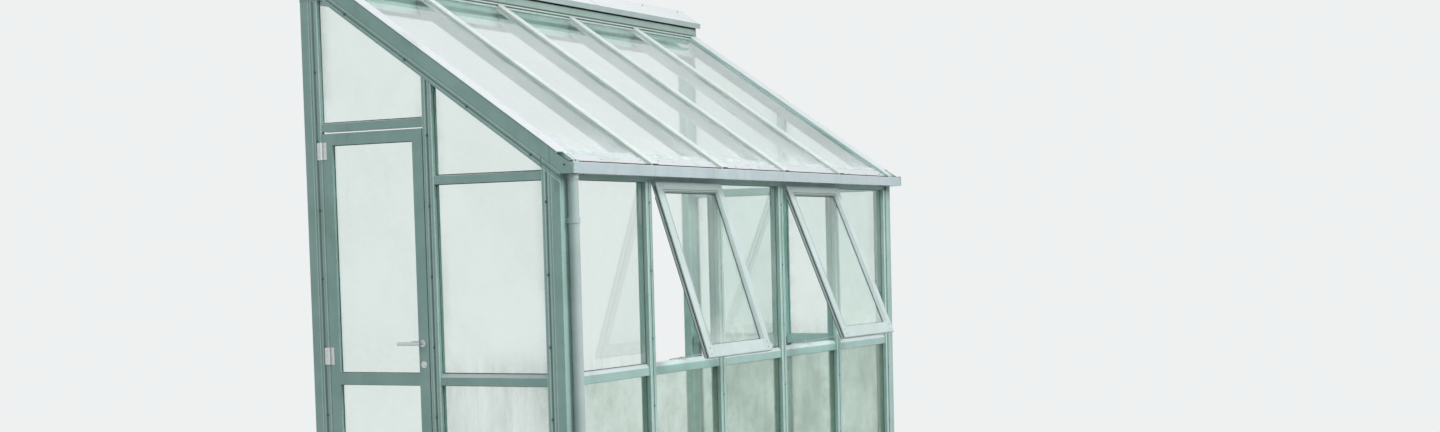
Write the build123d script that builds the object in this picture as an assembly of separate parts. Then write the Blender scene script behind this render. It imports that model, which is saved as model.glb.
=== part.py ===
from build123d import *
import math
import os

# Greenhouse, lean-to, of glazed aluminium bars. Millimetres, +Z up.
# While it is built, x runs from the left gable's outer face, y from the
# front wall's outer face back to the wall side, and z from the ground.

# Bays and overall size
front_bays = 5
front_pitch = 620.0
gable_bays = 2
gable_pitch = 551.0
corner_reach = 62.0
sill_height = 820.0
head_height = 1618.0
roof_rise = 0.69
roof_lift = 98.0
door_head_lift = 232.0

# Glass and the gaps round it
glass = 4.0
seat_gap = 0.3
edge_gap = 3.0

# Glazing bar section
cap_width = 46.0
cap_depth = 21.0
cap_round = 3.0
groove_floor = 4.0
groove_flank = 5.0
groove_depth = 2.6
spine_width = 10.0
seat_width = 38.0
seat_depth = 3.0
web_width = 14.0
toe_width = 22.0
toe_depth = 4.0
wall_depth = 57.0

# Roof bar section
roof_cap_depth = 14.0
roof_cap_round = 6.0
rafter_depth = 80.0
roof_bar_overhang = 34.0

# Corner and edge frames
tube_width = 44.0
tube_wall = 3.0
edge_cap_width = 42.0
edge_seat_width = 34.0
seam_near = 1.0
seam_far = 5.0
seam_depth = 2.2
rake_flat = 57.0
rake_cap = 34.0

# Ground rail, sill rail and gable transom
base_height = 60.0
base_lip = 12.0
threshold_height = 22.0
threshold_chamfer = 3.0
sill_face = 32.0
sill_top = 48.0
sill_setback = 7.0
transom_face = 32.0
transom_top = 36.0
transom_setback = 5.0
rail_spine_inset = 12.0

# Eaves beam and gutter
beam_front = 10.0
beam_nose = 24.0
beam_cover = 51.0
beam_lip = 12.0
gutter_drop = 20.0
gutter_height = 43.5
gutter_reach = 63.0
gutter_wall = 3.0
gutter_lip = 9.0
gutter_edge = 2.0
end_plate = 4.0
end_plate_back = 12.0

# Ridge beam and wall flashing
ridge_depth = 96.0
ridge_up = 34.0
ridge_height = 150.0
rib_reach = 12.0
rib_pitch = 14.0
rib_step = 2.0
rib_lip = 3.0
rib_slope = 4.0
rib_run = 5.0
rib_groove = 8.0
flashing_length = 140.0
flashing_wall = 3.0
flashing_lip = 12.0
flashing_lift = 20.0
flashing_overhang = 28.0
ledge_depth = 22.0

# Downpipe
pipe_diameter = 41.0
pipe_wall = 2.5
pipe_x = 52.0
pipe_end = 70.0
collar_diameter = 45.0
collar_height = 20.0
bracket_low = 260.0
bracket_drop = 190.0
bracket_width = 26.0
bracket_height = 22.0
bracket_band = 3.0
shoe_socket = 30.0
shoe_wall = 3.0
shoe_length = 70.0
shoe_angle = 55.0

# Opening vents
vent_every_bays = 2
vent_angles = (17.9, 22.0)
vent_overlap = 4.0
vent_foot = 29.5
vent_thickness = 20.0
vent_stile = 58.0
vent_top_rail = 42.0
vent_bottom_rail = 57.0
vent_bevel = 4.0
vent_bevel_depth = 10.0
vent_foot_edge = 3.0
vent_hinge = 9.0
rebate_width = 6.0
stay_width = 14.0
stay_thickness = 4.0
stay_hole = 6.0
stay_peg = 7.0
stay_holes = 6
stay_tail = 60.0

# Door
door_gap = 4.0
door_thickness = 30.0
door_stile = 48.0
door_bottom_rail = 90.0
door_mid_rail = 48.0
door_foot_gap = 8.0
hinge_diameter = 12.0
hinge_height = 70.0
hinge_plate = 24.0
hinge_leaf = 2.0
hinge_count = 3
handle_height = 980.0
handle_length = 110.0
handle_diameter = 14.0
handle_stand = 34.0
handle_rose = 6.0
handle_stem = 10.0

# Sizes worked out from the driving ones
cap_half = cap_width / 2
groove_half = groove_floor / 2 + groove_flank
length = 2 * corner_reach + front_bays * front_pitch
depth = 2 * corner_reach + gable_bays * gable_pitch
slope = math.atan(roof_rise)
glass_back = cap_depth + glass
roof_start = head_height + roof_lift
door_head_height = head_height + door_head_lift
gutter_bottom = head_height + gutter_drop
gutter_top = gutter_bottom + gutter_height
ridge_front = depth - ridge_depth
edge_width = tube_width + edge_cap_width
tube_end = tube_width + seat_gap
pane_inset = spine_width / 2 + edge_gap
front_lines = [corner_reach + k * front_pitch for k in range(front_bays + 1)]
gable_lines = [corner_reach + k * gable_pitch for k in range(gable_bays + 1)]
vent_back = vent_hinge / 2
vent_width = front_pitch - cap_width + 2 * vent_overlap
vent_height = head_height - vent_back - sill_height - vent_foot
vent_glass_front = vent_back - glass - 4 * seat_gap
door_front = gable_lines[-2] + cap_half
door_back = depth - edge_width
door_width = door_back - door_front - 2 * door_gap
door_height = door_head_height - threshold_height - 2 * door_foot_gap


def roof_z(y, down=0.0):
    """Height of the roof's outer plane, or of a plane that far below it."""
    return roof_start + roof_rise * y - down / math.cos(slope)


ridge_top = roof_z(ridge_front) + ridge_up
ridge_bottom = ridge_top - ridge_height

# The origin is under the middle of the overall box
box_left = -seat_gap - handle_stand - handle_diameter / 2
box_right = length + end_plate
swing = math.radians(max(vent_angles))
vent_corner = vent_height - vent_foot_edge
vent_reach = vent_corner * math.sin(swing) + (vent_thickness - vent_back) * math.cos(swing)
box_front = -seat_gap - vent_back - vent_reach
origin = Location((-(box_left + box_right) / 2, -(box_front + depth) / 2, 0))

os.makedirs("parts", exist_ok=True)


def save(name, solids):
    """Write one node: one solid, or several alike that don't touch."""
    solids = solids if isinstance(solids, list) else [solids]
    placed = [origin * solid for shape in solids for solid in shape.solids()]
    shape = placed[0] if len(placed) == 1 else Compound(children=placed)
    export_step(shape, f"parts/{name}.step")


def face(points):
    return make_face(Polyline(*points, close=True))


def upright(section, z0, z1):
    """Extrude a section drawn in plan."""
    return extrude(Pos(0, 0, z0) * section, amount=z1 - z0)


def along_x(section, x0, x1):
    """Extrude a section drawn in y and z."""
    plane = Plane(origin=(x0, 0, 0), x_dir=(0, 1, 0), z_dir=(1, 0, 0))
    return extrude(plane * section, amount=x1 - x0)


def along_y(section, y0, y1):
    """Extrude a section drawn in x and z."""
    plane = Plane(origin=(0, y1, 0), x_dir=(1, 0, 0), z_dir=(0, -1, 0))
    return extrude(plane * section, amount=y1 - y0)


def along_slope(section, x, y0, y1):
    """Extrude a section of x and depth below the roof plane, cut upright at its ends."""
    start = y0 - rafter_depth
    run = (y1 - start + rafter_depth) / math.cos(slope)
    plane = Plane(
        origin=(x, start, roof_z(start)),
        x_dir=(1, 0, 0),
        z_dir=(0, math.cos(slope), math.sin(slope)),
    )
    return extrude(plane * section, amount=run) & span(y0, y1)


def span(y0, y1):
    """A block that keeps only what lies between two depths."""
    tall = 2 * roof_z(depth)
    return Pos(length / 2, (y0 + y1) / 2, 0) * Box(3 * length, y1 - y0, 2 * tall)


def box(x0, x1, y0, y1, z0, z1):
    size = Box(x1 - x0, y1 - y0, z1 - z0)
    return Pos((x0 + x1) / 2, (y0 + y1) / 2, (z0 + z1) / 2) * size


def rod(radius, height):
    """A round bar that stands on its place."""
    return Cylinder(radius, height, align=(Align.CENTER, Align.CENTER, Align.MIN))


def mirrored(shape):
    return mirror(shape, about=Plane.YZ.offset(length / 2))


def bar_section(cap, total, rounding):
    """Cap, spine between the panes, inner seat, web and toe, drawn outer face first."""
    half = [
        (0, groove_depth),
        (groove_floor / 2, groove_depth),
        (groove_half, 0),
        (cap_half, 0),
        (cap_half, cap),
        (spine_width / 2, cap),
        (spine_width / 2, cap + glass + seat_gap),
        (seat_width / 2, cap + glass + seat_gap),
        (seat_width / 2, cap + glass + seat_gap + seat_depth),
        (web_width / 2, cap + glass + seat_gap + seat_depth),
        (web_width / 2, total - toe_depth),
        (toe_width / 2, total - toe_depth),
        (toe_width / 2, total),
    ]
    other = [(-u, v) for u, v in reversed(half[1:])]
    section = face(half + other)
    corners = [v for v in section.vertices() if abs(v.Y) < 0.01 and abs(abs(v.X) - cap_half) < 0.01]
    return fillet(corners, rounding)


def rail_section(bottom, face_height, top, setback):
    """A rail between two panes: sloping outer face, spine and inner box."""
    back = glass_back + seat_gap
    inset = rail_spine_inset
    return face(
        [
            (setback, bottom),
            (setback, bottom + face_height),
            (cap_depth, bottom + top),
            (cap_depth, bottom + top - inset),
            (back, bottom + top - inset),
            (back, bottom + top),
            (wall_depth, bottom + top),
            (wall_depth, bottom),
            (back, bottom),
            (back, bottom + inset),
            (cap_depth, bottom + inset),
            (cap_depth, bottom),
        ]
    )


def edge_wing():
    """Grooved cap and seat that close a wall's last pane, drawn beside a corner tube."""
    start = tube_width
    middle = start + edge_cap_width / 2
    cap = face(
        [
            (start - tube_wall, 0),
            (start, 0),
            (start + seam_near, seam_depth),
            (start + seam_near + seam_far, 0),
            (middle - groove_half, 0),
            (middle - groove_floor / 2, groove_depth),
            (middle + groove_floor / 2, groove_depth),
            (middle + groove_half, 0),
            (edge_width - cap_round, 0),
            (edge_width, cap_round),
            (edge_width, cap_depth),
            (start - tube_wall, cap_depth),
        ]
    )
    seat = Rectangle(edge_seat_width + tube_wall, seat_depth, align=(Align.MIN, Align.MIN))
    return cap + Pos(start - tube_wall, glass_back + seat_gap) * seat


def tube_section():
    outer = Rectangle(tube_width, tube_width, align=(Align.MIN, Align.MIN))
    outer = fillet(outer.vertices().sort_by(lambda v: v.X + v.Y)[0], cap_round)
    inner = Rectangle(tube_width - 2 * tube_wall, tube_width - 2 * tube_wall)
    return outer - Pos(tube_width / 2, tube_width / 2) * inner


def swapped(section):
    """The same section for the gable: its two axes change places."""
    return mirror(section, about=Plane((0, 0, 0), x_dir=(1, 1, 0), z_dir=(-1, 1, 0)))


def above_roof(down, y0, y1):
    """Everything over a plane that lies this far below the roof plane."""
    top = roof_z(depth) + length
    points = [(y0, roof_z(y0, down)), (y1, roof_z(y1, down)), (y1, top), (y0, top)]
    return along_x(face(points), -length, 2 * length)


# Corner posts: a square tube with a half cap on each wall
def corner_post():
    tall = roof_z(edge_width)
    tube = upright(tube_section(), 0, tall)
    front = upright(edge_wing(), base_height + seat_gap, head_height - seat_gap)
    side = upright(swapped(edge_wing()), base_height + seat_gap, tall)
    post = tube + front + side
    post -= above_roof(rake_flat + seat_gap, -length, depth)
    gutter_space = box(-1, length, -1, beam_front, gutter_bottom - seat_gap, tall)
    return post - gutter_space


corner = corner_post()
save("corner_post_left", corner)
save("corner_post_right", mirrored(corner))


# Wall posts: the same tube with one half cap, turned to face the gable
def wall_post(cap_start):
    top = ridge_bottom - seat_gap
    tube = upright(mirror(tube_section(), about=Plane.XZ), 0, top)
    wing = upright(mirror(swapped(edge_wing()), about=Plane.XZ), cap_start + seat_gap, top)
    return Pos(0, depth) * (tube + wing)


save("wall_post_left", wall_post(threshold_height))
save("wall_post_right", mirrored(wall_post(base_height)))

# Front mullions
mullion = bar_section(cap_depth, wall_depth, cap_round)
for number, x in enumerate(front_lines[1:-1], start=1):
    bar = upright(Pos(x, 0) * mullion, base_height + seat_gap, head_height - seat_gap)
    save(f"mullion_{number}", bar)


# Gable posts: the same bar, up to the rake
def gable_post():
    y = gable_lines[1]
    bar = upright(Pos(0, y) * swapped(mullion), base_height + seat_gap, roof_z(depth))
    return bar - above_roof(rake_flat + rake_cap + seat_gap, -length, depth)


middle_post = gable_post()
save("gable_post_left", middle_post)
save("gable_post_right", mirrored(middle_post))


# Ground rails, with a low threshold where the door stands
def base_section():
    back = glass_back + seat_gap
    return face(
        [
            (0, 0),
            (0, base_height - base_lip),
            (cap_depth / 2, base_height),
            (cap_depth, base_height),
            (cap_depth, base_height - base_lip),
            (back, base_height - base_lip),
            (back, base_height),
            (tube_width, base_height),
            (tube_width, 0),
        ]
    )


save("base_rail_front", along_x(base_section(), tube_end, length - tube_end))
side_base = along_y(base_section(), tube_end, depth - tube_end)
save("base_rail_right", mirrored(side_base))
save("base_rail_left", side_base & span(0, door_front - seat_gap))
threshold = box(0, tube_width, door_front, depth - tube_end, 0, threshold_height)
threshold_edges = threshold.edges().filter_by(Axis.Y).group_by(Axis.Z)[-1]
save("door_threshold", chamfer(threshold_edges, threshold_chamfer))

# Sill rails, gable transoms and door head between the uprights
sill = rail_section(sill_height, sill_face, sill_top, sill_setback)
transom = rail_section(head_height, transom_face, transom_top, transom_setback)
head = rail_section(door_head_height, transom_face, transom_top, transom_setback)


def clear_bay(lines, index):
    """The stretch that a rail fills between the uprights on either side of a bay."""
    start = lines[index] + cap_half
    end = lines[index + 1] - cap_half
    if index == 0:
        start = edge_width
    if index == len(lines) - 2:
        end = lines[-1] + corner_reach - edge_width
    return start + seat_gap, end - seat_gap


front_sills = [along_x(sill, *clear_bay(front_lines, bay)) for bay in range(front_bays)]
gable_sills = [along_y(sill, *clear_bay(gable_lines, bay)) for bay in range(gable_bays)]
gable_transoms = [along_y(transom, *clear_bay(gable_lines, bay)) for bay in range(gable_bays)]
save("sill_rail_front", front_sills)
save("sill_rail_left", gable_sills[0])
save("sill_rail_right", [mirrored(rail) for rail in gable_sills])
save("gable_transom_left", gable_transoms[0])
save("gable_transom_right", [mirrored(rail) for rail in gable_transoms])
save("door_head", along_y(head, *clear_bay(gable_lines, gable_bays - 1)))


# Eaves beam: it closes the front glass, carries the roof glass and runs out over the gutter
def eaves_beam():
    cover = roof_cap_depth + seat_gap
    seat = roof_cap_depth + glass + seat_gap
    cover_end = beam_cover - beam_nose
    back = glass_back + seat_gap
    section = face(
        [
            (beam_front, head_height),
            (beam_front, roof_z(beam_front, cover) - beam_lip),
            (-beam_nose, roof_z(-beam_nose, cover) - beam_lip),
            (-beam_nose, roof_z(-beam_nose, cover)),
            (cover_end, roof_z(cover_end, cover)),
            (cover_end, roof_z(cover_end, seat)),
            (wall_depth, roof_z(wall_depth, seat)),
            (wall_depth, head_height),
            (back, head_height),
            (back, head_height + rail_spine_inset),
            (cap_depth, head_height + rail_spine_inset),
            (cap_depth, head_height),
        ]
    )
    return along_x(section, tube_end, length - tube_end)


save("eaves_beam", eaves_beam())

# Roof bars
rafter = bar_section(roof_cap_depth, rafter_depth, roof_cap_round)
rib_front = ridge_front - rib_reach
for number, x in enumerate(front_lines[1:-1], start=1):
    whole = along_slope(rafter, x, -roof_bar_overhang, ridge_front - seat_gap)
    cap_only = along_slope(
        Pos(0, roof_cap_depth / 2) * Rectangle(2 * cap_width, roof_cap_depth + 0.01),
        x,
        -roof_bar_overhang,
        rib_front - seat_gap,
    )
    inner = whole & span(wall_depth + seat_gap, ridge_front - seat_gap)
    inner -= above_roof(roof_cap_depth, rib_front - seat_gap, depth)
    save(f"rafter_{number}", (whole & cap_only) + inner)


# Rakes: the end rafters, flush with the gables
def rake():
    tube = Rectangle(tube_width, rake_flat, align=(Align.MIN, Align.MIN))
    hollow = Rectangle(tube_width - 2 * tube_wall, rake_flat - 2 * tube_wall)
    tube -= Pos(tube_width / 2, rake_flat / 2) * hollow
    roof_wing = Rectangle(edge_cap_width + tube_wall, roof_cap_depth, align=(Align.MIN, Align.MIN))
    roof_wing = fillet(roof_wing.vertices().sort_by(lambda v: v.X - v.Y)[-1], roof_cap_round)
    roof_wing = Pos(tube_width - tube_wall) * roof_wing
    seat = Rectangle(edge_seat_width + tube_wall, seat_depth, align=(Align.MIN, Align.MIN))
    seat = Pos(tube_width - tube_wall, roof_cap_depth + glass + seat_gap) * seat
    middle = rake_flat + rake_cap / 2
    gable_cap = face(
        [
            (0, rake_flat - tube_wall),
            (0, rake_flat),
            (seam_depth, rake_flat + seam_near),
            (0, rake_flat + seam_near + seam_far),
            (0, middle - groove_half),
            (groove_depth, middle - groove_floor / 2),
            (groove_depth, middle + groove_floor / 2),
            (0, middle + groove_half),
            (0, rake_flat + rake_cap - cap_round),
            (cap_round, rake_flat + rake_cap),
            (cap_depth, rake_flat + rake_cap),
            (cap_depth, rake_flat - tube_wall),
        ]
    )
    gable_seat = Rectangle(seat_depth, rake_cap, align=(Align.MIN, Align.MIN))
    gable_seat = Pos(glass_back + seat_gap, rake_flat - tube_wall) * gable_seat
    end = ridge_front - seat_gap
    wall_y = edge_width + seat_gap
    flat = along_slope(tube, 0, end_plate_back, end)
    wing = along_slope(roof_wing, 0, -roof_bar_overhang, rib_front - seat_gap)
    inner_seat = along_slope(seat, 0, wall_depth + seat_gap, end)
    lower = along_slope(gable_cap + gable_seat, 0, wall_y, end)
    return flat + (wing & span(-roof_bar_overhang, end)) + inner_seat + lower


left_rake = rake()
save("rake_left", left_rake)
save("rake_right", mirrored(left_rake))


# Ridge beam: a closed beam along the wall, with two sloping lips and a band over the glass
def ridge_beam():
    beam = box(0, length, ridge_front, depth, ridge_bottom, ridge_top)
    foot = roof_z(rib_front, roof_cap_depth) + 2 * seat_gap
    outline = []
    for number in range(2):
        start = rib_front + number * rib_step
        low = foot + number * rib_pitch
        crest = low + rib_lip + rib_slope
        outline += [
            (start, low),
            (start, low + rib_lip),
            (start + rib_run, crest),
            (start + rib_groove, crest),
            (start + rib_groove, low + rib_pitch),
        ]
    band = rib_front + 2 * rib_step
    outline += [
        (band, foot + 2 * rib_pitch),
        (band, ridge_top),
        (ridge_front, ridge_top),
        (ridge_front, foot + roof_rise * rib_reach),
    ]
    ribs = along_x(face(outline), tube_end, length - tube_end)
    ledge = box(0, length, depth - ledge_depth, depth, ridge_top, flashing_rest)
    return beam + ribs + ledge


# The flashing lies at the roof's slope on the beam's back ledge
lip_y = ridge_front - flashing_overhang
lip_z = ridge_top + flashing_lift + flashing_lip


def flashing_z(y):
    return lip_z + roof_rise * (y - lip_y)


flashing_rest = flashing_z(depth - ledge_depth) - flashing_wall / math.cos(slope) - seat_gap
save("ridge_beam", ridge_beam())


def flashing():
    end = lip_y + flashing_length * math.cos(slope)
    under = flashing_wall / math.cos(slope)
    section = face(
        [
            (lip_y, lip_z - flashing_lip),
            (lip_y, lip_z),
            (end, flashing_z(end)),
            (end, flashing_z(end) - under),
            (lip_y + flashing_wall, flashing_z(lip_y + flashing_wall) - under),
            (lip_y + flashing_wall, lip_z - flashing_lip),
        ]
    )
    return along_x(section, 0, length)


save("wall_flashing", flashing())


# Gutter: a front with a turned-in lip and a floor that runs back to the beam
def gutter_front():
    wall = gutter_wall
    section = face(
        [
            (-gutter_reach, gutter_bottom),
            (-gutter_reach, gutter_top - gutter_edge),
            (-gutter_reach + gutter_edge, gutter_top),
            (-gutter_reach + gutter_lip, gutter_top),
            (-gutter_reach + gutter_lip, gutter_top - wall),
            (-gutter_reach + wall, gutter_top - wall),
            (-gutter_reach + wall, gutter_bottom),
        ]
    )
    return along_x(section, seat_gap, length - seat_gap)


def gutter_floor():
    front = -gutter_reach + gutter_wall
    back = beam_front - seat_gap
    top = gutter_bottom + gutter_wall
    floor = box(seat_gap, length - seat_gap, front, back, gutter_bottom, top)
    outlet = Pos(pipe_x, pipe_y, gutter_bottom - gutter_wall) * rod(
        pipe_diameter / 2 - pipe_wall, 3 * gutter_wall
    )
    return floor - outlet


def end_cap():
    top = roof_cap_depth / 2
    back = end_plate_back - seat_gap
    lip = -gutter_reach + 2 * gutter_lip
    section = face(
        [
            (-gutter_reach, gutter_bottom),
            (-gutter_reach, gutter_top),
            (lip, gutter_top),
            (back, max(roof_z(back, top), gutter_top)),
            (back, gutter_bottom),
        ]
    )
    return along_x(section, -end_plate, 0)


pipe_y = (beam_front - gutter_reach) / 2
save("gutter_front", gutter_front())
save("gutter_floor", gutter_floor())
left_end = end_cap()
save("gutter_ends", [left_end, mirrored(left_end)])


# Downpipe: a straight tube with a collar under the gutter, then its shoe and brackets
def downpipe():
    top = gutter_bottom - seat_gap
    pipe = Pos(pipe_x, pipe_y, pipe_end) * rod(pipe_diameter / 2, top - pipe_end)
    collar = Pos(pipe_x, pipe_y, top - collar_height) * rod(collar_diameter / 2, collar_height)
    bore = Pos(pipe_x, pipe_y, 0) * rod(pipe_diameter / 2 - pipe_wall, gutter_top)
    return pipe + collar - bore


def pipe_shoe():
    """A socket round the pipe's foot, a round knee and a short slanting spout."""
    inner = pipe_diameter / 2 + seat_gap
    outer = inner + shoe_wall
    knee = Pos(pipe_x, pipe_y, pipe_end)
    spout = knee * Rot(180 - shoe_angle, 0, 0)
    shape = knee * rod(outer, shoe_socket) + knee * Sphere(outer) + spout * rod(outer, shoe_length)
    shape -= knee * rod(inner, 2 * shoe_socket)
    shape -= knee * Sphere(inner)
    return shape - spout * rod(inner, 2 * shoe_length)


def pipe_bracket(z):
    """A band round the pipe on a block that stands on the corner post."""
    inner = pipe_diameter / 2 + seat_gap
    place = Pos(pipe_x, pipe_y, z)
    half = bracket_width / 2
    block = box(pipe_x - half, pipe_x + half, pipe_y, -seat_gap, z, z + bracket_height)
    band = place * rod(inner + bracket_band, bracket_height)
    return block + band - place * rod(inner, bracket_height)


save("downpipe", downpipe())
bracket_places = (bracket_low, gutter_bottom - bracket_drop)
save("downpipe_fittings", [pipe_shoe()] + [pipe_bracket(z) for z in bracket_places])


# Opening vents: drawn closed below the knuckle's axis, then swung out about it
def vent_block(width, y0, y1, z0, z1):
    return box(-width / 2, width / 2, y0, y1, z0, z1)


def vent_frame():
    front = vent_back - vent_thickness
    light_width = vent_width - 2 * vent_stile
    low = vent_bottom_rail - vent_height
    high = -vent_top_rail
    frame = vent_block(vent_width, front, vent_back, -vent_height, 0)
    frame -= vent_block(light_width, -vent_thickness, vent_thickness, low, high)
    front_face = frame.faces().sort_by(Axis.Y)[0]
    light_edges = front_face.inner_wires()[0].edges()
    frame = chamfer(light_edges, vent_bevel, vent_bevel_depth, reference=front_face)
    frame -= vent_block(
        light_width + 2 * rebate_width,
        vent_glass_front,
        vent_thickness,
        low - rebate_width,
        high + rebate_width,
    )
    foot = frame.edges().filter_by(Axis.X).group_by(Axis.Z)[0].sort_by(Axis.Y)[0]
    frame = chamfer(foot, vent_foot_edge)
    knuckle = Pos(-vent_width / 2) * Rot(0, 90, 0) * rod(vent_hinge / 2, vent_width)
    return frame + knuckle


def vent_pane():
    grow = rebate_width - seat_gap
    start = vent_glass_front + seat_gap
    return vent_block(
        vent_width - 2 * vent_stile + 2 * grow,
        start,
        start + glass,
        vent_bottom_rail - vent_height - grow,
        grow - vent_top_rail,
    )


def vent_place(bay, angle):
    x = (front_lines[bay - 1] + front_lines[bay]) / 2
    return Location((x, -seat_gap - vent_back, head_height - vent_back)) * Rot(-angle, 0, 0)


def vent_stay(bay, angle):
    """A flat bar with peg holes, from the vent's bottom rail to a peg on the sill."""
    x = (front_lines[bay - 1] + front_lines[bay]) / 2
    place = vent_place(bay, angle)
    rail = (place * Location((0, vent_back, vent_bottom_rail / 2 - vent_height))).position
    peg_y = (cap_depth + wall_depth) / 2
    peg_z = sill_height + sill_top + seat_gap
    run = peg_y - rail.Y
    rise = rail.Z - peg_z - stay_thickness
    reach = math.hypot(run, rise) + stay_tail
    bar = box(-stay_width / 2, stay_width / 2, 0, reach, 0, stay_thickness)
    bar = fillet(bar.edges().filter_by(Axis.Z), stay_width / 2 - seat_gap)
    for index in range(stay_holes):
        at = reach - stay_tail - index * (reach - 2 * stay_tail) / stay_holes
        bar -= Pos(0, at, 0) * Cylinder(stay_hole / 2, 4 * stay_thickness)
    pitch = math.degrees(math.atan2(-rise, run))
    bar = Pos(x, rail.Y, rail.Z) * Rot(pitch, 0, 0) * bar
    bar -= place * vent_block(vent_width, -vent_thickness, vent_back + seat_gap, -vent_height, 0)
    peg = Pos(x, peg_y, peg_z) * rod(stay_peg / 2, stay_width)
    return bar + peg


vent_bays = []
vent_panes = []
vent_stays = []
for number, angle in enumerate(vent_angles, start=1):
    bay = number * vent_every_bays
    vent_bays.append(bay)
    save(f"vent_frame_{bay}", vent_place(bay, angle) * vent_frame())
    vent_panes.append(vent_place(bay, angle) * vent_pane())
    vent_stays.append(vent_stay(bay, angle))
save("vent_glass", vent_panes)
save("vent_stays", vent_stays)

# Glass in the front wall
low_bottom = base_height - base_lip + seat_gap
low_top = sill_height + rail_spine_inset - seat_gap
high_bottom = sill_height + sill_top - rail_spine_inset + seat_gap
high_top = head_height + rail_spine_inset - seat_gap
pane_front = cap_depth + seat_gap / 2
pane_back = pane_front + glass


def pane_span(lines, index):
    return lines[index] + pane_inset, lines[index + 1] - pane_inset


lower_panes = []
upper_panes = []
for bay in range(front_bays):
    x0, x1 = pane_span(front_lines, bay)
    lower_panes.append(box(x0, x1, pane_front, pane_back, low_bottom, low_top))
    if bay + 1 not in vent_bays:
        upper_panes.append(box(x0, x1, pane_front, pane_back, high_bottom, high_top))
save("glass_front_lower", lower_panes)
save("glass_front_upper", upper_panes)


# Glass in the gables
def top_pane(y0, y1, bottom):
    """A pane cut to the rake, and to the ridge beam where it reaches that far."""
    edge = rake_flat + rail_spine_inset
    limit = ridge_bottom - seat_gap
    turn = (limit - roof_z(0, edge)) / roof_rise
    if turn < y1:
        top = [(turn, limit), (y1, limit)]
    else:
        top = [(y1, roof_z(y1, edge))]
    outline = [(y0, bottom), (y0, roof_z(y0, edge))] + top + [(y1, bottom)]
    return along_x(face(outline), pane_front, pane_back)


transom_low = head_height + rail_spine_inset - seat_gap
transom_high = head_height + transom_top - rail_spine_inset + seat_gap
fanlight_bottom = door_head_height + transom_top - rail_spine_inset + seat_gap
full_gable = []
for bay in range(gable_bays):
    y0, y1 = pane_span(gable_lines, bay)
    full_gable.append(box(pane_front, pane_back, y0, y1, low_bottom, low_top))
    full_gable.append(box(pane_front, pane_back, y0, y1, high_bottom, transom_low))
    full_gable.append(top_pane(y0, y1, transom_high))
save("glass_gable_right", [mirrored(pane) for pane in full_gable])
y0, y1 = pane_span(gable_lines, gable_bays - 1)
save("glass_gable_left", full_gable[:3] + [top_pane(y0, y1, fanlight_bottom)])

# Roof glass
roof_panes = []
pane_section_top = roof_cap_depth + seat_gap / 2
for bay in range(front_bays):
    x0, x1 = pane_span(front_lines, bay)
    sheet = Rectangle(x1 - x0, glass, align=(Align.MIN, Align.MIN))
    sheet = Pos(0, pane_section_top) * sheet
    start = beam_cover - beam_nose + 2 * seat_gap
    roof_panes.append(along_slope(sheet, x0, start, ridge_front - seat_gap))
save("roof_glass", roof_panes)


# Door: drawn from its hinge edge and lower corner, then set in its bay
def door_leaf():
    rails = [0, sill_height - threshold_height - door_foot_gap, door_height - door_stile]
    heights = [door_bottom_rail, door_mid_rail, door_stile]
    leaf = box(0, door_thickness, -door_width, 0, 0, door_height)
    for index in range(2):
        z0 = rails[index] + heights[index]
        z1 = rails[index + 1]
        leaf -= box(-door_gap, door_thickness + door_gap, door_stile - door_width, -door_stile, z0, z1)
        leaf -= box(
            door_thickness / 2,
            door_thickness + door_gap,
            door_stile - door_width - rebate_width,
            rebate_width - door_stile,
            z0 - rebate_width,
            z1 + rebate_width,
        )
    return leaf


def door_panes():
    rails = [0, sill_height - threshold_height - door_foot_gap, door_height - door_stile]
    heights = [door_bottom_rail, door_mid_rail, door_stile]
    panes = []
    for index in range(2):
        grow = rebate_width - seat_gap
        panes.append(
            box(
                door_thickness / 2 + seat_gap,
                door_thickness / 2 + seat_gap + glass,
                door_stile - door_width - grow,
                grow - door_stile,
                rails[index] + heights[index] - grow,
                rails[index + 1] + grow,
            )
        )
    return panes


def door_hinges():
    """A knuckle over the gap at the wall side, with a plate on the leaf and on the post."""
    hinges = []
    step = (door_height - 2 * hinge_height) / (hinge_count - 1)
    for index in range(hinge_count):
        z0 = hinge_height / 2 + index * step
        radius = hinge_diameter / 2
        barrel = Pos(-radius - seat_gap, door_gap / 2, z0) * rod(radius, hinge_height)
        front = door_gap / 2 - hinge_plate
        back = door_gap / 2 + hinge_plate
        plate = box(-seat_gap - hinge_leaf, -seat_gap, front, back, z0, z0 + hinge_height)
        hinges.append(barrel + plate)
    return hinges


def door_handle():
    """A lever on each face: a round rose, a stem and a bar that points to the hinges."""
    y = door_stile / 2 - door_width
    z = handle_height - threshold_height
    levers = []
    for side in (-1, 1):
        surface = seat_gap if side > 0 else -seat_gap
        surface += door_thickness if side > 0 else 0
        outward = Pos(surface, y, z) * Rot(0, side * 90, 0)
        stem = outward * (rod(handle_diameter, handle_rose) + rod(handle_stem / 2, handle_stand))
        start = Pos(surface + side * handle_stand, y - handle_diameter / 2, z) * Rot(-90, 0, 0)
        levers.append(stem + start * rod(handle_diameter / 2, handle_length))
    return levers


hang = Location((0, door_back - door_gap, threshold_height + door_foot_gap))
save("door_leaf", hang * door_leaf())
save("door_glass", [hang * pane for pane in door_panes()])
save("door_hinges", [hang * hinge for hinge in door_hinges()])
save("door_handle", [hang * piece for piece in door_handle()])
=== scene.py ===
import math
import random

import bmesh
import bpy
from mathutils import Matrix, Vector


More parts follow.
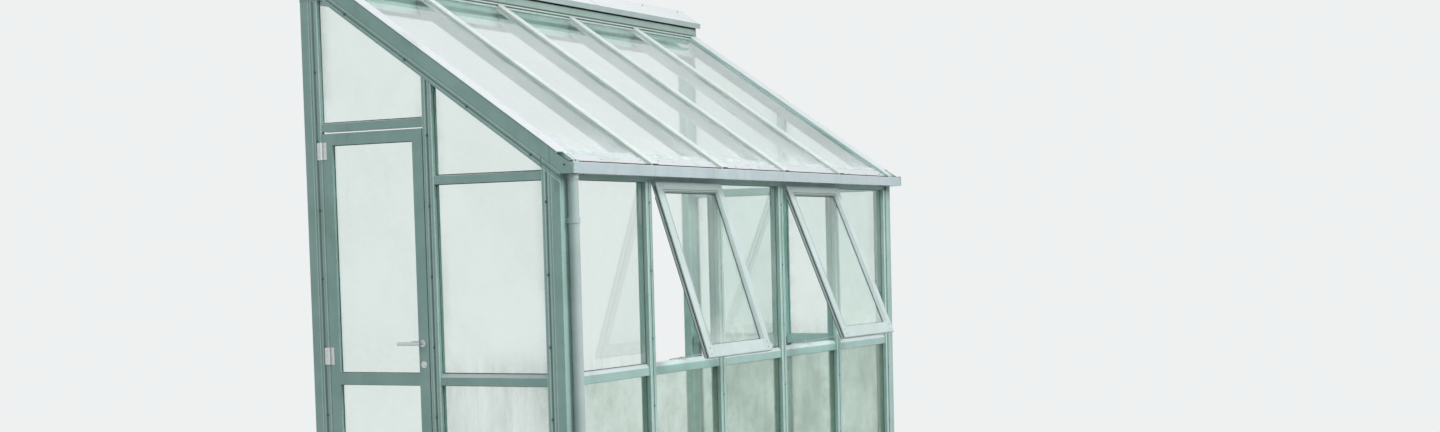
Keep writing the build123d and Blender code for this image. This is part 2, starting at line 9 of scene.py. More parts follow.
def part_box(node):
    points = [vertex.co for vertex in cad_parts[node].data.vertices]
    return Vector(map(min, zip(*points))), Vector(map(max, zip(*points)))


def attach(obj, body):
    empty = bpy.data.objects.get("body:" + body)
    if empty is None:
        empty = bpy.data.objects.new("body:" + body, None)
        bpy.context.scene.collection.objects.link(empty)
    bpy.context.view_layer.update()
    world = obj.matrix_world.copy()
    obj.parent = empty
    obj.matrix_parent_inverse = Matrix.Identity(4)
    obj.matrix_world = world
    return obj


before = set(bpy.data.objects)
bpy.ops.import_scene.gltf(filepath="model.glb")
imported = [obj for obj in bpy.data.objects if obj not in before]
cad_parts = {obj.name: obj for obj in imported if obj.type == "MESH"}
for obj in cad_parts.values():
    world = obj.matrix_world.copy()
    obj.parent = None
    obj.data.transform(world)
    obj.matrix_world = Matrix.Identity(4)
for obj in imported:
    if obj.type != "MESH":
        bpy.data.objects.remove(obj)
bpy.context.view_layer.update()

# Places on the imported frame: the gables' outer faces and the front wall's outer face
LEFT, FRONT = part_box("corner_post_left")[0][:2]
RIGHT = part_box("corner_post_right")[1][0]
MM = 0.001
LENGTH = (RIGHT - LEFT) / MM

# Walls, in the solids' millimetres
BAYS = 5
PITCH = 620.0
CORNER_REACH = 62.0
GABLE_PITCH = 551.0
GABLE_POST = CORNER_REACH + GABLE_PITCH
DEPTH = 1226.0
EDGE_WIDTH = 86.0
EDGE_CAP_MIDDLE = 65.0
CAP_HALF = 23.0
CAP_DEPTH = 21.0
GROOVE_SEAT = 0.6
BASE = 60.0
SILL = 820.0
SILL_TOP = 48.0
HEAD = 1618.0
TRANSOM_TOP = 36.0
DOOR_HEAD = 1850.0

# Roof
ROOF_START = 1716.0
ROOF_RISE = 0.69
SLOPE = math.atan(ROOF_RISE)
ROOF_CAP = 14.0
ROOF_BAR_END = -34.0
BEAM_NOSE = -24.0
COVER_END = 27.0
RAKE_EDGE = 91.0
RIDGE_FRONT = 1130.0
RIDGE_BOTTOM = 2379.7
RIB_FRONT = 1118.0
RIB_PITCH = 14.0
UP_SLOPE = Vector((0, math.cos(SLOPE), math.sin(SLOPE)))
ROOF_OUT = Vector((0, -math.sin(SLOPE), math.cos(SLOPE)))

# Gutter and downpipe
GUTTER_FRONT = -63.0
GUTTER_BOTTOM = 1638.0
GUTTER_TOP = 1681.5
PLATE = 4.0
PLATE_BACK = 11.7
PLATE_FLAT = 18.0
PIPE_X = 52.0
PIPE_Y = -26.5
PIPE_RADIUS = 20.5
PIPE_BRACKETS = (260.0, GUTTER_BOTTOM - 190.0)

# Vents: the angle of each, by its bay, and the sash as it hangs closed below its hinge line
VENTS = {2: 17.9, 4: 22.0}
HINGE_PROUD = 0.3
VENT_HEIGHT = 764.0
VENT_STILE = 58.0
VENT_TOP_RAIL = 42.0
VENT_BOTTOM_RAIL = 57.0
VENT_WIDTH = 582.0
VENT_FRONT = -15.5
VENT_BACK = 4.5
VENT_GLASS = -0.4

# Door leaf
DOOR_LEFT = 640.0
DOOR_RIGHT = 1136.0
DOOR_BOTTOM = 30.0
DOOR_TOP = 1842.0
DOOR_STILE = 48.0
DOOR_BOTTOM_RAIL = 90.0
DOOR_GLASS = 15.3
HINGES = 3
HINGE_HEIGHT = 70.0
HANDLE = 988.0

# Screws, whose rings have a radius and a height, and seals
SCREW_PITCH = 280.0
SCREW_TOP = SILL + 713.0
MOST_SCREWS = 10
WASHER = 5.6
SCREW_HEAD = 4.2
SCREW_RINGS = (
    (WASHER, 0), (WASHER, 0.8), (SCREW_HEAD, 0.9), (SCREW_HEAD, 1.6),
    (3.2, 2.7), (1.7, 3.1), (1.5, 1.6),
)
SEAL_SUNK = 0.15

# Sections of strips: width, height, bevel, and how far the strip goes into its seat
SEAL = (2.6, 2.4, 0.7, 0.0)
VENT_LIGHT_SEAL = (5.0, 2.4, 0.7, 0.0)
VENT_EDGE_SEAL = (7.0, 5.0, 1.6, 0.2)
VENT_SIDE_SHADE_STRIP = (4.5, 0.7, 0.2, 0.3)
VENT_SEAM = (0.9, 0.15, 0.0, 0.2)
VENT_GROOVE_SHADE = (3.0, 0.15, 0.0, 0.2)
BEAM_NOSE_SHADE_STRIP = (15.0, 3.0, 0.8, 0.2)
RAKE_SEAL = (1.4, 0.6, 0.2, 0.2)
PLATE_SEAM = (1.4, 0.6, 0.2, 0.3)
PLATE_NICK = (5.0, 1.0, 0.4, 0.3)
PLATE_SLOPE_SEAL = (PLATE - 0.6, 0.9, 0.3, 0.6)
PLATE_TOP_SEAL = (PLATE - 0.4, 4.6, 0.9, 0.3)
PLATE_BACK_SEAM = (1.3, 0.5, 0.2, 0.3)
LIP_GAP_SHADE_STRIP = (8.0, 14.0, 1.5, 0.3)

# Which way a piece stands out
FORWARDS, DOWNWARDS, UPWARDS, TO_THE_LEFT = (0, -1, 0), (0, 0, -1), (0, 0, 1), (-1, 0, 0)

chance = random.Random(7)


def at(x, y, z):
    """A place given as the solids give it, in metres in the shared frame."""
    return Vector((LEFT + x * MM, FRONT + y * MM, z * MM))


def roof_z(y, down=0.0):
    """The height of the roof's outer plane, or of one that lies this far down inside it."""
    return ROOF_START + ROOF_RISE * y - down / math.cos(SLOPE)


def on_roof(x, y, down=0.0):
    return at(x, y, roof_z(y, down))


def bar_x(number):
    return CORNER_REACH + number * PITCH


def clear_widths(number):
    """The clear stretch between the caps of the front's bay with this number, from 0."""
    low = EDGE_WIDTH if number == 0 else bar_x(number) + CAP_HALF
    high = LENGTH - EDGE_WIDTH if number == BAYS - 1 else bar_x(number + 1) - CAP_HALF
    return low, high


def along_length(count, from_end):
    """Evenly spaced places along the front, the outer ones this far from its ends."""
    return [from_end + step * (LENGTH - 2 * from_end) / (count - 1) for step in range(count)]


def vent_matrix(bay):
    """Takes a vent's own millimetres, measured from its hinge line, to the shared frame."""
    middle = bar_x(bay - 0.5)
    hinge = at(middle, -HINGE_PROUD - VENT_BACK, HEAD - VENT_BACK)
    turn = Matrix.Rotation(-math.radians(VENTS[bay]), 4, "X")
    return Matrix.Translation(hinge) @ turn @ Matrix.Scale(MM, 4)


RIB_FOOT = roof_z(RIB_FRONT, ROOF_CAP) + 0.6
FLASHING_LIP = (RIDGE_FRONT - 28.0, roof_z(RIDGE_FRONT) + 66.0)


# Materials


class Value:
    """A socket of a material's node, on which Python's operators add Math nodes."""

    def __init__(self, shader, socket):
        self.shader = shader
        self.socket = socket

    def _math(self, operation, *values, **settings):
        return self.shader.node("Math", list(values), operation=operation, **settings)

    def __add__(self, other):
        return self._math("ADD", self, other)

    __radd__ = __add__

    def __sub__(self, other):
        return self._math("SUBTRACT", self, other)

    def __rsub__(self, other):
        return self._math("SUBTRACT", other, self)

    def __mul__(self, other):
        return self._math("MULTIPLY", self, other)

    __rmul__ = __mul__

    def __truediv__(self, other):
        return self._math("DIVIDE", self, other)

    def clamped(self):
        return self._math("ADD", self, 0.0, use_clamp=True)

    def at_most(self, other):
        return self._math("MINIMUM", self, other)

    def at_least(self, other):
        return self._math("MAXIMUM", self, other)


class Finish:
    """One material, with its nodes made by method calls."""

    def __init__(self, name):
        self.material = bpy.data.materials.new(name)
        self.material.use_nodes = True
        self.tree = self.material.node_tree
        self.tree.nodes.clear()
        self.place = self.node("TexCoord", [], output="Object")

    def node(self, kind, values=(), output=0, **settings):
        """Adds one node: its settings first, then the values or links of its inputs."""
        made = self.tree.nodes.new("ShaderNode" + kind)
        for key, value in settings.items():
            setattr(made, key, value)
        named = values.items() if isinstance(values, dict) else enumerate(values)
        for key, value in named:
            socket = made.inputs[key]
            if isinstance(value, Value):
                self.tree.links.new(value.socket, socket)
            elif isinstance(value, tuple) and len(value) == 3 and socket.type == "RGBA":
                socket.default_value = (*value, 1.0)
            else:
                socket.default_value = value
        return Value(self, made.outputs[output])

    def mix(self, factor, first, second):
        """Blends two colours, first where factor is 0."""
        values = {0: factor, 6: first, 7: second}
        return self.node("Mix", values, output=2, data_type="RGBA")

    def noise(self, scale, detail=3.0, roughness=0.55, stretch=(1, 1, 1)):
        """Soft noise of a size given in features a metre."""
        where = self.node("Mapping", {"Vector": self.place, "Scale": stretch}, vector_type="POINT")
        sizes = {"Vector": where, "Scale": scale, "Detail": detail, "Roughness": roughness}
        return self.node("TexNoise", sizes)

    def specks(self, scale, threshold, soft=0.06):
        """Round specks: 1 inside them and 0 between."""
        cells = self.node("TexVoronoi", {"Vector": self.place, "Scale": scale, "Randomness": 1.0})
        return self.band(cells, threshold, threshold - soft)

    def band(self, value, low, high):
        """0 below low and 1 above high, or the other way round where low is the larger."""
        limits = {"Value": value, "From Min": low, "From Max": high}
        return self.node("MapRange", limits, clamp=True, interpolation_type="SMOOTHSTEP")

    def axis(self, letter):
        return self.node("SeparateXYZ", [self.place], output="XYZ".index(letter))

    def near(self, value, middle, half):
        """1 on the line where the value is middle, and 0 further than half from it."""
        off = self.node("Math", [value - middle], operation="ABSOLUTE")
        return self.band(off, half, half * 0.45)

    def to_line(self, value, first, pitch):
        """How far a place is from the nearest of a row of lines."""
        return self.node("Math", [value - first, pitch / 2], operation="PINGPONG")

    def close(self, shader):
        out = self.tree.nodes.new("ShaderNodeOutputMaterial")
        self.tree.links.new(shader.socket, out.inputs["Surface"])
        return self.material


def toned(colour, share, lift=(0.0, 0.0, 0.0)):
    """A colour times a share, and brighter by the lift."""
    return tuple(share * c + d for c, d in zip(colour, lift))


# Marks on the glazing bars: painted highlights on edges and groove flanks, painted shade in the
# rakes' grooves, and the post's seam; the middle and half width of each, in metres
CAP_EDGE = (0.0212, 0.0030)
GROOVE_EDGE = (0.0086, 0.0022)
RAKE_HIGHLIGHTS = ((0.0605, 0.0026), (0.0895, 0.0026), (0.0020, 0.0024))
RAKE_GROOVE_SHADE = ((0.0575, 0.0016), (0.0740, 0.0030))
POST_SEAM = (0.0448, 0.0016)
# Where the bars' faces and grooves and the ridge beam's ribs fade out, in metres
CAP_FACE = (0.0042, 0.0034)
GROOVE = (0.0052, 0.0030)
RAKE_FACE = (0.094, 0.092)
RIBS_FOOT = (-0.0010, -0.0002)
RIBS_TOP = (0.0284, 0.0276)
# Where the painted highlight on a rib's nose fades out, as shares of the ribs' pitch
RIB_NOSE = (0.64, 0.40)


def bar_highlights_and_shade(finish):
    """Painted highlights on the glazing caps' edges and groove flanks, and painted shade in the
    grooves, beside dark seams.
    """
    left, front = finish.axis("X") - LEFT, finish.axis("Y") - FRONT
    side = left.at_most(RIGHT - finish.axis("X"))
    down = (front * ROOF_RISE - finish.axis("Z") + ROOF_START * MM) * math.cos(SLOPE)
    on_front, on_side = finish.band(front, *CAP_FACE), finish.band(side, *CAP_FACE)
    across_front = finish.to_line(left, CORNER_REACH * MM, PITCH * MM)
    across_side = finish.to_line(front, CORNER_REACH * MM, GABLE_PITCH * MM)
    wall = finish.band(down, RAKE_EDGE * MM, (RAKE_EDGE + 1) * MM)
    painted_highlight, shade_and_seams = [], []
    for across, face in ((across_front, on_front), (across_side, on_side * wall)):
        for line in (CAP_EDGE, GROOVE_EDGE):
            painted_highlight.append(finish.near(across, *line) * face)
        shade_and_seams.append(finish.band(across, *GROOVE) * face)
    rake = on_side * finish.band(down, *RAKE_FACE)
    painted_highlight += [finish.near(down, *line) * rake for line in RAKE_HIGHLIGHTS]
    shade_and_seams += [finish.near(down, *line) * rake for line in RAKE_GROOVE_SHADE]
    shade_and_seams.append(finish.near(front, *POST_SEAM) * on_side)
    return sum(painted_highlight[1:], painted_highlight[0]).clamped(), sum(shade_and_seams[1:], shade_and_seams[0]).clamped()


def rib_highlights_and_shade(finish):
    """The ridge beam's ribs: a painted highlight on their noses, and painted shade in the grooves
    between.
    """
    height = finish.axis("Z") - RIB_FOOT * MM
    turn = finish.node("Math", [height / (RIB_PITCH * MM)], operation="FRACT")
    ribs = finish.band(height, *RIBS_FOOT) * finish.band(height, *RIBS_TOP)
    nose = finish.band(turn, *RIB_NOSE) * ribs
    return nose, (ribs - nose).clamped()


# What weather adds to the paint, and the pale colour of painted highlights
CHALK = (0.30, 0.37, 0.34)
EDGE_HIGHLIGHT = (0.44, 0.53, 0.50)
STREAK_DUST = (0.24, 0.23, 0.17)
LEDGE_DUST = (0.26, 0.25, 0.18)
ALGAE = (0.12, 0.17, 0.075)
DIRT_SPOT = (0.16, 0.18, 0.12)
# Where the painted shadow under the gutter lies, by height and depth, and where algae gathers near
# the ground, in metres
GUTTER_SHADOW_FOOT = (1.545, 1.590)
GUTTER_SHADOW_TOP = (1.637, 1.634)
GUTTER_SHADOW_BACK = (0.03, 0.02)
SPLASHED = (0.36, 0.02)


def paint(
    name, colour, shade, grime=0.5, algae=0.35, gloss=0.34, chalk=0.5,
    light_and_shade_lines=None, faded_and_sheen=None, gutter_shadow=0.0
):
    """Weathered satin paint: mottled, chalky in spots, and paler on faces turned up, from fading
    and a painted sky sheen, with rain streaks, dust on ledges, a painted shadow under the gutter,
    and algae, most near the ground."""
    finish = Finish(name)
    mottle = finish.noise(7.0, 5.0, 0.6)
    fine = finish.noise(170.0, 3.0, 0.65)
    streaks = finish.noise(34.0, 4.0, 0.62, (1.0, 1.0, 0.07))
    patches = finish.noise(3.4, 5.0, 0.62)
    base = finish.mix(finish.band(mottle, 0.34, 0.66), colour, shade)
    base = finish.mix(finish.band(fine, 0.46, 0.74) * 0.22, base, toned(shade, 0.80))
    up = finish.node("SeparateXYZ", [finish.node("NewGeometry", [], output="Normal")], output=2)
    # Paler on faces turned up: fading in the rain, and a painted sky sheen
    if faded_and_sheen:
        patchy_fade_and_sheen = finish.band(patches, 0.2, 0.6) * 0.2 + 0.8
        base = finish.mix(finish.band(up, 0.30, 0.80) * patchy_fade_and_sheen, base, faded_and_sheen)
    # Painted shadow under the gutter: darker near the top of the front wall
    if gutter_shadow:
        height, front = finish.axis("Z"), finish.axis("Y") - FRONT
        gutter_shadow_mask = finish.band(height, *GUTTER_SHADOW_FOOT) * finish.band(height, *GUTTER_SHADOW_TOP)
        gutter_shadow_mask = gutter_shadow_mask * finish.band(front, *GUTTER_SHADOW_BACK)
        base = finish.mix(gutter_shadow_mask * gutter_shadow, base, toned(shade, 0.42))
    chalky = finish.specks(120.0, 0.20) * finish.band(patches, 0.44, 0.60) * chalk
    relief = fine + 0.4 * mottle + 0.3 * chalky
    # Painted highlights along edges and painted shade in grooves
    if light_and_shade_lines:
        painted_highlight, shade_and_seams = light_and_shade_lines(finish)
        base = finish.mix(shade_and_seams * 0.75, base, toned(shade, 0.25))
        paler_mask = painted_highlight * (finish.band(fine, 0.36, 0.60) * 0.5 + 0.5)
        base = finish.mix(paler_mask, base, toned(colour, 0.35, EDGE_HIGHLIGHT))
    base = finish.mix(chalky, base, toned(colour, 0.55, CHALK))
    streaked = finish.band(streaks, 0.52, 0.76) * finish.band(patches, 0.38, 0.62) * grime
    base = finish.mix(streaked, base, toned(shade, 0.55, toned(STREAK_DUST, 0.45)))
    ledge = finish.band(up, 0.70, 0.95) * finish.band(fine, 0.40, 0.66) * (0.45 * grime)
    base = finish.mix(ledge, base, LEDGE_DUST)
    low = finish.band(finish.axis("Z"), *SPLASHED) * finish.band(streaks, 0.42, 0.66) * algae
    green = finish.band(patches, 0.56, 0.72) * (algae * 0.45) + low
    base = finish.mix(green.clamped(), base, ALGAE)
    spots = finish.specks(75.0, 0.15) * finish.band(patches, 0.60, 0.46) * (0.6 * grime)
    base = finish.mix(spots, base, DIRT_SPOT)
    rough = finish.band(mottle, 0.3, 0.7) * 0.10 + gloss
    rough = rough + streaked * 0.25 + chalky * 0.12 + green * 0.2
    height = relief + 0.4 * spots
    bump = finish.node("Bump", {"Strength": 0.12, "Distance": 0.0005, "Height": height})
    sockets = {"Base Color": base, "Roughness": rough.clamped(), "Normal": bump}
    return finish.close(finish.node("BsdfPrincipled", {**sockets, "Specular IOR Level": 0.5}))


def pane(name, tint, rest, film, foot=None, bars=None, streaks=1.0, grime=0.3):
    """Float glass with dust, rain marks and algae, thicker towards the pane's foot and its bars."""
    finish = Finish(name)
    sockets = {"Base Color": tint, "Roughness": 0.02, "IOR": 1.52, "Transmission Weight": 1.0}
    clear = finish.node("BsdfPrincipled", sockets)
    let_through = finish.node("BsdfTransparent", [tint])
    shadow = finish.node("LightPath", [], output="Is Shadow Ray")
    glass = finish.node("MixShader", [shadow, clear, let_through])
    cloud = finish.noise(2.6, 7.0, 0.66)
    wash = finish.noise(7.0, 5.0, 0.6, (1.0, 1.0, 0.25))
    drips = finish.noise(24.0, 5.0, 0.66, (1.0, 1.0, 0.09))
    grain = finish.noise(300.0, 2.0, 0.7)
    dirt = finish.band(cloud, 0.36, 0.74) * film
    runs = finish.band(drips, 0.60, 0.84) * finish.band(wash, 0.44, 0.62)
    dirt = dirt + runs * (film * streaks)
    edge = finish.band(cloud, 0.60, 0.85) * 0.2
    if foot:
        bottom, top = foot
        low = finish.band(finish.axis("Z"), top, bottom)
        ragged = finish.band(wash, 0.30, 0.66) * 0.65 + finish.band(drips, 0.40, 0.75) * 0.35
        edge = edge + low * low * ragged
    if bars:
        letter, first, pitch, reach = bars
        beside = finish.to_line(finish.axis(letter), first, pitch)
        edge = edge + finish.band(beside, reach, 0.02) * finish.band(cloud, 0.34, 0.62) * 0.6
    marks = finish.specks(48.0, 0.13, 0.05) * finish.band(cloud, 0.42, 0.60)
    fine_marks = finish.specks(150.0, 0.16, 0.06) * finish.band(cloud, 0.62, 0.44)
    dirt = (dirt + edge * grime) * finish.band(grain, 0.05, 0.7)
    dirt = dirt + marks * (film * 2.0) + fine_marks * film
    tone = finish.mix(finish.band(drips, 0.35, 0.75), rest, toned(rest, 0.78))
    dust = finish.node("BsdfPrincipled", {"Base Color": tone, "Roughness": 0.75})
    return finish.close(finish.node("MixShader", [dirt.clamped(), glass, dust]))


def plain(name, colour, rough, metal=0.0, wear=0.15):
    """A small part's finish, with some variation."""
    finish = Finish(name)
    mottle = finish.noise(60.0, 4.0)
    paler_mask = finish.band(mottle, 0.4, 0.75) * wear
    base = finish.mix(paler_mask, colour, toned(colour, 0.5, (0.12, 0.12, 0.12)))
    bump = finish.node("Bump", {"Strength": 0.08, "Distance": 0.0004, "Height": mottle})
    sockets = {"Base Color": base, "Roughness": paler_mask * 0.6 + rough, "Metallic": metal}
    return finish.close(finish.node("BsdfPrincipled", {**sockets, "Normal": bump}))


# Paints: each colour and its second tone; the vents' and roof bars' paler and the ridge's darker,
# as painted light and shade
SAGE, SAGE_SHADE = (0.333, 0.492, 0.470), (0.284, 0.438, 0.410)
LIT_VENT_SAGE, LIT_VENT_TONE = (0.500, 0.585, 0.585), (0.445, 0.535, 0.530)
ROOF_SAGE_SHEEN, ROOF_SHEEN_TONE = (0.570, 0.625, 0.612), (0.515, 0.575, 0.560)
GUTTER_SAGE, GUTTER_SHADE = (0.445, 0.520, 0.555), (0.395, 0.475, 0.510)
PIPE_SAGE, PIPE_SHADE = (0.415, 0.495, 0.495), (0.365, 0.450, 0.445)
SHADED_RIDGE_SAGE, SHADED_RIDGE_TONE = (0.300, 0.400, 0.375), (0.260, 0.360, 0.335)
LIP, LIP_SHADE = (0.340, 0.415, 0.420), (0.300, 0.375, 0.375)
# Colours for faces turned up: fading and a painted sky sheen in one; on the flashing, its white
# paint and the sheen
FADED_AND_SHEEN, BEAM_FADED_AND_SHEEN, WHITE_AND_SHEEN = (0.590, 0.610, 0.650), (0.545, 0.565, 0.600), (0.620, 0.645, 0.660)

frame_paint = paint("sage_paint", SAGE, SAGE_SHADE, light_and_shade_lines=bar_highlights_and_shade, faded_and_sheen=FADED_AND_SHEEN, gutter_shadow=0.35)
beam_paint = paint("sage_paint_beam", SAGE, SAGE_SHADE, grime=0.8, faded_and_sheen=BEAM_FADED_AND_SHEEN)
# Roof bars: the sage made paler, a painted sky sheen
roof_paint = paint("sage_paint_roof_sheen", ROOF_SAGE_SHEEN, ROOF_SHEEN_TONE, grime=0.5, algae=0.15, gloss=0.26)
# Vents: the sage made paler, a painted lit copy
vent_paint = paint(
    "sage_paint_vents_lit", LIT_VENT_SAGE, LIT_VENT_TONE, grime=0.35, algae=0.15, gloss=0.32, gutter_shadow=0.6
)
gutter_paint = paint(
    "sage_paint_gutter", GUTTER_SAGE, GUTTER_SHADE, grime=0.7, algae=0.25, faded_and_sheen=FADED_AND_SHEEN
)
pipe_paint = paint("sage_paint_pipe", PIPE_SAGE, PIPE_SHADE, grime=0.4)
# Ridge beam: the sage made darker, a painted shaded copy
ridge_paint = paint(
    "sage_paint_ridge_shaded", SHADED_RIDGE_SAGE, SHADED_RIDGE_TONE, grime=0.6, light_and_shade_lines=rib_highlights_and_shade, faded_and_sheen=FADED_AND_SHEEN
)
# The flashing: grey-green on its lip, white on faces turned up, which is its paint and a painted
# sky sheen
flashing_paint = paint(
    "white_paint", LIP, LIP_SHADE, grime=0.25, algae=0.1, chalk=0.2, faded_and_sheen=WHITE_AND_SHEEN
)

bare_metal = plain("satin_aluminium", (0.62, 0.64, 0.64), 0.32, metal=1.0)
dark_metal = plain("painted_screw", (0.070, 0.125, 0.110), 0.42, metal=0.2, wear=0.35)
rubber = plain("black_rubber", (0.022, 0.024, 0.022), 0.6, wear=0.3)
glazing_seal = plain("grey_green_seal", (0.062, 0.082, 0.070), 0.6, wear=0.3)
pale_seal = plain("pale_seal", (0.36, 0.42, 0.40), 0.6, wear=0.3)
dry_leaf = plain("dry_leaf", (0.17, 0.105, 0.05), 0.8, wear=0.4)

# Glass: tints, the dust on it, and the rows of bars beside which the dust gathers, in metres
CLEAR, LOW_CLEAR_SHADED, ROOF_CLEAR = (0.84, 0.915, 0.885), (0.67, 0.79, 0.72), (0.83, 0.90, 0.885)
DUST, VENT_DUST, SKY_DUST = (0.60, 0.65, 0.60), (0.72, 0.75, 0.74), (0.68, 0.72, 0.74)
MURK_AND_SHADE = (0.20, 0.265, 0.20)
DUST_REACH = 0.085
FRONT_BARS = ("X", LEFT + CORNER_REACH * MM, PITCH * MM, DUST_REACH)
GABLE_BARS = ("Y", FRONT + CORNER_REACH * MM, GABLE_PITCH * MM, DUST_REACH)
ABOVE_SILL = (0.86, 1.02)

front_glass = pane("front_glass", CLEAR, DUST, 0.06, ABOVE_SILL, FRONT_BARS)
side_glass = pane("side_glass", CLEAR, DUST, 0.06, ABOVE_SILL, GABLE_BARS)
# The lower panes' darker, greener tint and film: algae, and painted shade of the dark space behind
# them
low_glass = pane("low_glass", LOW_CLEAR_SHADED, MURK_AND_SHADE, 0.34, (0.04, 0.40), FRONT_BARS, grime=0.6)
vent_glass = pane("vent_glass", CLEAR, VENT_DUST, 0.10, (0.90, 1.16), streaks=1.6, grime=0.5)
door_glass = pane("door_glass", CLEAR, DUST, 0.07, (0.12, 0.30))
roof_glass = pane("roof_glass", ROOF_CLEAR, SKY_DUST, 0.11, (1.71, 1.90), FRONT_BARS, 0.8, 0.6)

FINISHES = {
    "glass_front_lower": low_glass,
    "glass_front_upper": front_glass,
    "glass_gable": side_glass,
    "roof_glass": roof_glass,
    "vent_glass": vent_glass,
    "door_glass": door_glass,
    "door_handle": bare_metal,
    "door_hinges": bare_metal,
    "gutter_ends": frame_paint,
    "gutter": gutter_paint,
    "downpipe": pipe_paint,
    "wall_flashing": flashing_paint,
    "vent_stays": bare_metal,
    "vent_frame": vent_paint,
    "rafter": roof_paint,
    "ridge_beam": ridge_paint,
    "eaves_beam": beam_paint,
}


def finish_of(node):
    """The finish whose name starts this node's name, or the frame's paint."""
    for start, material in FINISHES.items():
        if node.startswith(start):
            return material
    return frame_paint


for node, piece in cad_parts.items():
    for place in piece.material_slots:
        place.material = finish_of(node)
    if not piece.material_slots:
        piece.data.materials.append(finish_of(node))


# Pieces


def finished(name, bm, material, smooth=False):
    """Makes the mesh an object of the frame's one body."""
    bmesh.ops.recalc_face_normals(bm, faces=bm.faces)
    mesh = bpy.data.meshes.new(name)
    bm.to_mesh(mesh)
    bm.free()
    for face in mesh.polygons:
        face.use_smooth = smooth
    piece = bpy.data.objects.new(name, mesh)
    bpy.context.scene.collection.objects.link(piece)
    mesh.materials.append(material)
    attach(piece, "root")


def add_block(bm, low, high, place, bevel):
    """A block between two corners with its edges softened; place takes it to the frame."""
    low, high = Vector(low), Vector(high)
    made = bmesh.ops.create_cube(bm, size=1.0)["verts"]
    bmesh.ops.scale(bm, vec=high - low, verts=made)
    bmesh.ops.translate(bm, vec=(low + high) / 2, verts=made)
    if bevel:
        edges = list(dict.fromkeys(edge for vert in made for edge in vert.link_edges))
        made = bmesh.ops.bevel(
            bm, geom=edges, offset=bevel, segments=1, affect="EDGES", profile=0.5, material=-1
        )["verts"]
    bmesh.ops.transform(bm, matrix=place, verts=made)


def upright(start):
    """A place with the frame's own directions, and its sizes in millimetres."""
    return Matrix.Translation(start) @ Matrix.Scale(MM, 4)


def seat_matrix(start, along, out):
    """A place whose x runs along and whose z stands out, with its sizes in millimetres."""
    along, out = Vector(along).normalized(), Vector(out).normalized()
    turn = Matrix((along, out.cross(along), out)).transposed().to_4x4()
    return Matrix.Translation(start) @ turn @ Matrix.Scale(MM, 4)


def add_strip(bm, start, end, out, section):
    """A strip from start to end that stands out from its seat."""
    wide, high, bevel, sink = section
    reach = (end - start).length / MM
    place = seat_matrix(start, end - start, out)
    add_block(bm, (0, -wide / 2, -sink), (reach, wide / 2, high), place, bevel)


def add_disc(bm, place, rings, sides=12):
    """A turned part: rings of radius and height, from its seat to its top."""
    loop = bmesh.ops.create_circle(bm, cap_ends=True, radius=rings[0][0], segments=sides)["verts"]
    bmesh.ops.translate(bm, vec=(0, 0, rings[0][1]), verts=loop)
    made = list(loop)
    top = loop[0].link_faces[0]
    for (radius, height), (before, below) in zip(rings[1:], rings):
        top = bmesh.ops.extrude_discrete_faces(bm, faces=[top])["faces"][0]
        ring = list(top.verts)
        bmesh.ops.scale(bm, vec=(radius / before, radius / before, 1), verts=ring)
        bmesh.ops.translate(bm, vec=(0, 0, height - below), verts=ring)
        made += ring
    bmesh.ops.transform(bm, matrix=place, verts=made)


def add_screw(bm, place, out, size=1.0):
    """A domed head on a thin washer, with the socket for its key."""
    turn = Vector((0, 0, 1)) if abs(Vector(out).normalized().z) < 0.9 else Vector((1, 0, 0))
    along = turn.cross(Vector(out))
    spun = Matrix.Rotation(chance.uniform(0, math.pi), 4, "Z")
    seat = seat_matrix(place, along, out) @ spun @ Matrix.Scale(size, 4)
    add_disc(bm, seat, SCREW_RINGS)


def screw_heights(low, high):
    """Heights at the screws' pitch, in step with the topmost screw on the front wall."""
    first = math.floor((high - SCREW_TOP) / SCREW_PITCH)
    heights = [SCREW_TOP + (first - k) * SCREW_PITCH for k in range(MOST_SCREWS)]
    return [z for z in heights if z > low]


def bar_screws():
    """Screws down the grooves of the caps on the front wall and the gables, and on the rakes."""
    lowest, below_head = BASE + 40, 10
    below_roof = {EDGE_CAP_MIDDLE: 130, GABLE_POST: 150, DEPTH - EDGE_CAP_MIDDLE: 260}
    rake_screws, rake_first, rake_pitch, rake_inset = 4, 130, 290, 17
    bm = bmesh.new()
    middles = [bar_x(number) for number in range(1, BAYS)]
    middles += [EDGE_CAP_MIDDLE, LENGTH - EDGE_CAP_MIDDLE]
    for z in screw_heights(lowest, HEAD - below_head):
        for x in middles:
            add_screw(bm, at(x, GROOVE_SEAT, z), FORWARDS)
    for x, side in ((GROOVE_SEAT, -1), (LENGTH - GROOVE_SEAT, 1)):
        for y, clear in below_roof.items():
            for z in screw_heights(lowest, roof_z(y) - clear):
                add_screw(bm, at(x, y, z), (side, 0, 0))
        for step in range(rake_screws):
            y = rake_first + step * rake_pitch
            add_screw(bm, on_roof(x, y, RAKE_EDGE - rake_inset), (side, 0, 0))
    finished("bar_screws", bm, dark_metal)


def roof_bar_ends():
    """Black end caps on the roof bars, where they stand over the gutter."""
    bm = bmesh.new()
    half = CAP_HALF - 1
    top = ROOF_CAP / math.cos(SLOPE) - 1.2
    thick, lap, foot = 2.6, 0.3, 0.2
    for number in range(1, BAYS):
        seat = upright(on_roof(bar_x(number), ROOF_BAR_END, ROOF_CAP))
        add_block(bm, (-half, -thick, foot), (half, lap, top), seat, 2.0)
    finished("roof_bar_ends", bm, rubber)


def seal_loop(bm, corners, out, section=SEAL):
    """Seals along the sides of a pane, whose corners run round it."""
    middle = sum(corners, Vector()) / len(corners)
    for first, second in zip(corners, corners[1:] + corners[:1]):
        along = (second - first).normalized()
        inward = Vector(out).cross(along)
        if inward.dot(middle - first) < 0:
            inward = -inward
        shift = inward * section[0] / 2 * MM
        add_strip(bm, first + shift, second + shift, out, section)


